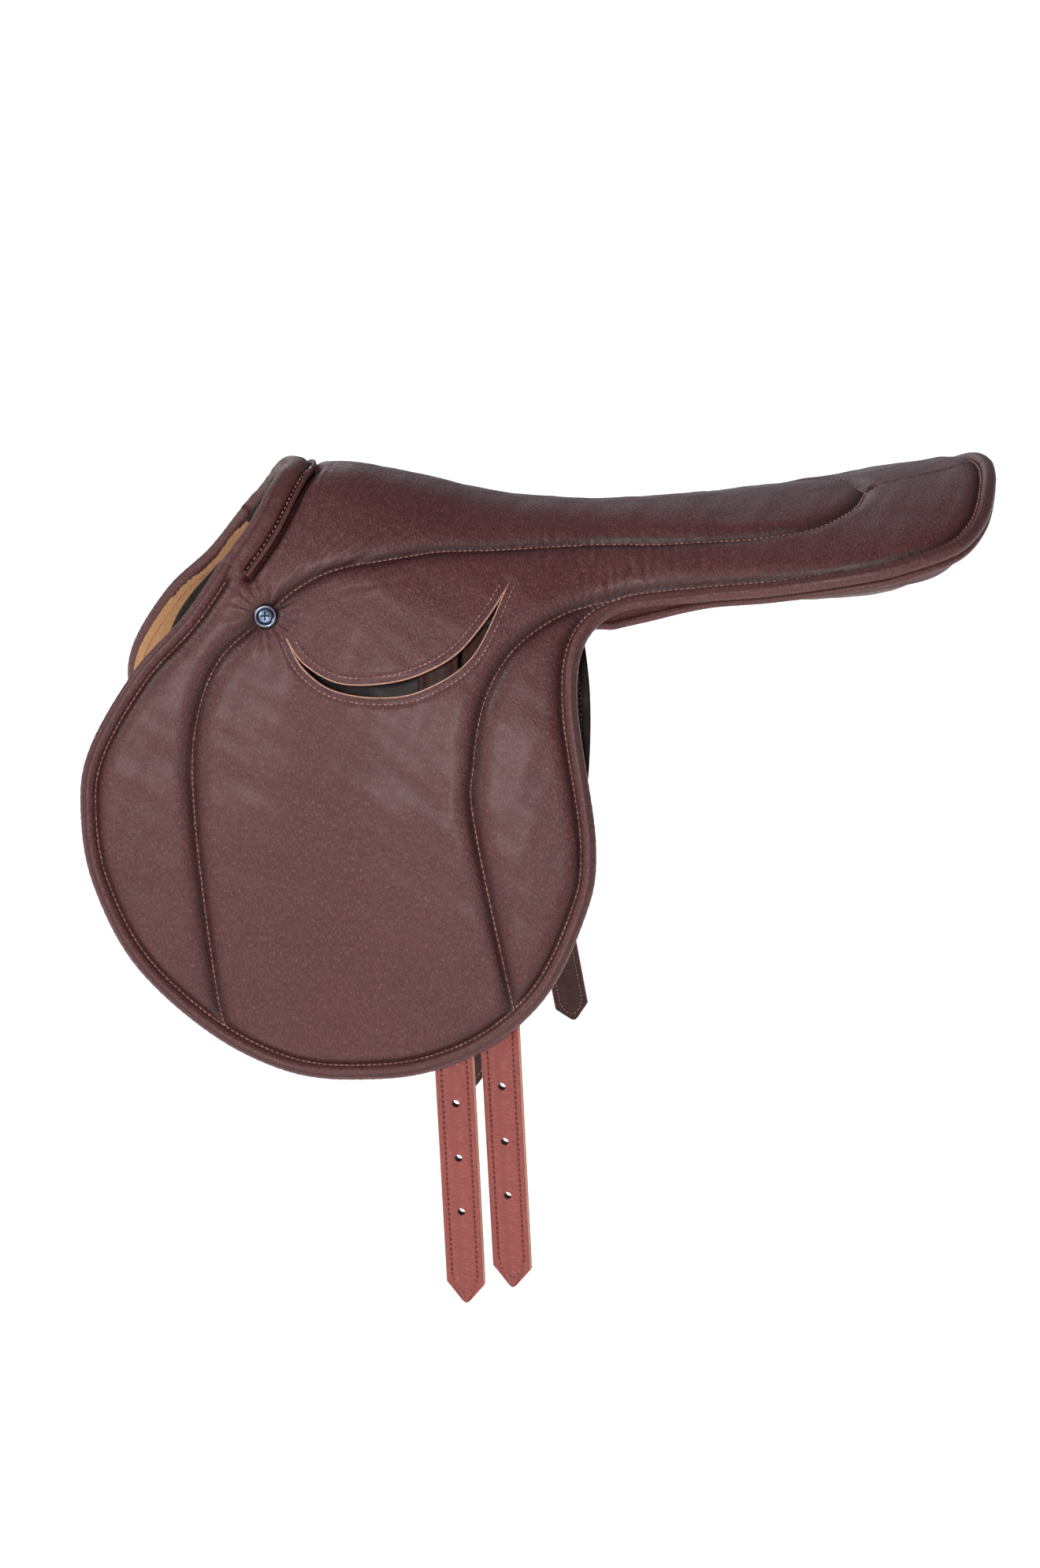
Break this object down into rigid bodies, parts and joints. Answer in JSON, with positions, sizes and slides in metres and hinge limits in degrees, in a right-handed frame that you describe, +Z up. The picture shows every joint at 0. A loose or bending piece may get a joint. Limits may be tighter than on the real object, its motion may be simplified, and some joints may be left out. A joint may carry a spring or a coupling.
{
  "type": "english saddle",
  "caption": "Racing exercise saddle with one-piece padded seat and flaps, slotted skirts over the stirrup bars, flocked panels and buckle-hole girth straps.",
  "frame": {"origin": "on the centre plane, on the ridge of the rack or back that carries the saddle, 60 mm below the lowest point of the seat", "axes": "+X from the pommel to the cantle, -Y to the left (near) side, +Z up"},
  "size_m": [0.5565, 0.3679, 0.509],
  "materials": {
    "brown_leather": "semi-gloss pebbled leather, padded",
    "bead_leather": "rolled leather edging",
    "panel_leather": "soft panel leather",
    "flesh_leather": "undyed flesh side, matt",
    "black_leather": "black lining leather",
    "girth_leather": "glossy bridle leather",
    "foam": "felt-covered foam",
    "webbing": "woven flax webbing",
    "tree_wood": "laminated beech, varnished",
    "steel": "forged steel",
    "nickel": "nickel-plated brass"
  },
  "bodies": {
    "root": {"tree_head_arch": "tree_wood", "gullet_plate": "steel", "tree_cantle": "tree_wood", "cross_web": "webbing", "girth_web_front": "webbing", "girth_web_rear": "webbing", "channel_lining": "black_leather", "seat_foam": "foam", "seat_cover": "brown_leather", "pommel_roll": "brown_leather", "pommel_welt": "bead_leather", "gullet_lining": "black_leather", "cantle_bead": "bead_leather", "panel_bead": "bead_leather", "tree_rail_left": "tree_wood", "seat_web_left": "webbing", "panel_left": "panel_leather", "sweat_flap_left": "flesh_leather", "front_bead_left": "bead_leather", "stud_screw_left": "nickel", "stud_washer_left": "nickel", "stirrup_bar_left": "steel", "catch_pin_left": "steel", "bar_rivet_front_left": "steel", "bar_rivet_rear_left": "steel", "tree_rail_right": "tree_wood", "seat_web_right": "webbing", "panel_right": "panel_leather", "sweat_flap_right": "flesh_leather", "front_bead_right": "bead_leather", "stud_screw_right": "nickel", "stud_washer_right": "nickel", "stirrup_bar_right": "steel", "catch_pin_right": "steel", "bar_rivet_front_right": "steel", "bar_rivet_rear_right": "steel"},
    "flap_left": {"flap_backing_left": "flesh_leather", "flap_centre_left": "brown_leather", "knee_roll_left": "brown_leather", "thigh_roll_left": "brown_leather", "flap_bead_left": "bead_leather"},
    "skirt_left": {"skirt_left": "brown_leather"},
    "catch_left": {"bar_catch_left": "steel"},
    "billet_front_left": {"billet_front_left": "girth_leather"},
    "billet_rear_left": {"billet_rear_left": "girth_leather"},
    "flap_right": {"flap_backing_right": "flesh_leather", "flap_centre_right": "brown_leather", "knee_roll_right": "brown_leather", "thigh_roll_right": "brown_leather", "flap_bead_right": "bead_leather"},
    "skirt_right": {"skirt_right": "brown_leather"},
    "catch_right": {"bar_catch_right": "steel"},
    "billet_front_right": {"billet_front_right": "girth_leather"},
    "billet_rear_right": {"billet_rear_right": "girth_leather"}
  },
  "joints": [
    {"name": "flap_lift_left", "type": "hinge", "parent": "root", "child": "flap_left", "pos_m": [-0.08, -0.0865, -0.003], "axis": [-1, 0, 0], "range_deg": [0, 75]},
    {"name": "skirt_lift_left", "type": "hinge", "parent": "root", "child": "skirt_left", "pos_m": [-0.072, -0.0759, 0.01375], "axis": [-0.964, -0.1205, -0.2372], "range_deg": [0, 24]},
    {"name": "bar_catch_turn_left", "type": "hinge", "parent": "root", "child": "catch_left", "pos_m": [-0.088, -0.06996, 0.00207], "axis": [0, -0.8873, 0.4612], "range_deg": [0, 80]},
    {"name": "billet_front_swing_left", "type": "hinge", "parent": "root", "child": "billet_front_left", "pos_m": [-0.05, -0.06113, 0.005], "axis": [0, 1, 0], "range_deg": [0, 7]},
    {"name": "billet_rear_swing_left", "type": "hinge", "parent": "root", "child": "billet_rear_left", "pos_m": [-0.023, -0.06018, 0.005], "axis": [0, 1, 0], "range_deg": [-8, 0]},
    {"name": "flap_lift_right", "type": "hinge", "parent": "root", "child": "flap_right", "pos_m": [-0.08, 0.0865, -0.003], "axis": [1, 0, 0], "range_deg": [0, 75]},
    {"name": "skirt_lift_right", "type": "hinge", "parent": "root", "child": "skirt_right", "pos_m": [-0.072, 0.0759, 0.01375], "axis": [0.964, -0.1205, 0.2372], "range_deg": [0, 24]},
    {"name": "bar_catch_turn_right", "type": "hinge", "parent": "root", "child": "catch_right", "pos_m": [-0.088, 0.06996, 0.00207], "axis": [0, -0.8873, -0.4612], "range_deg": [0, 80]},
    {"name": "billet_front_swing_right", "type": "hinge", "parent": "root", "child": "billet_front_right", "pos_m": [-0.05, 0.06113, 0.005], "axis": [0, 1, 0], "range_deg": [0, 7]},
    {"name": "billet_rear_swing_right", "type": "hinge", "parent": "root", "child": "billet_rear_right", "pos_m": [-0.023, 0.06018, 0.005], "axis": [0, 1, 0], "range_deg": [-2, 5]}
  ]
}
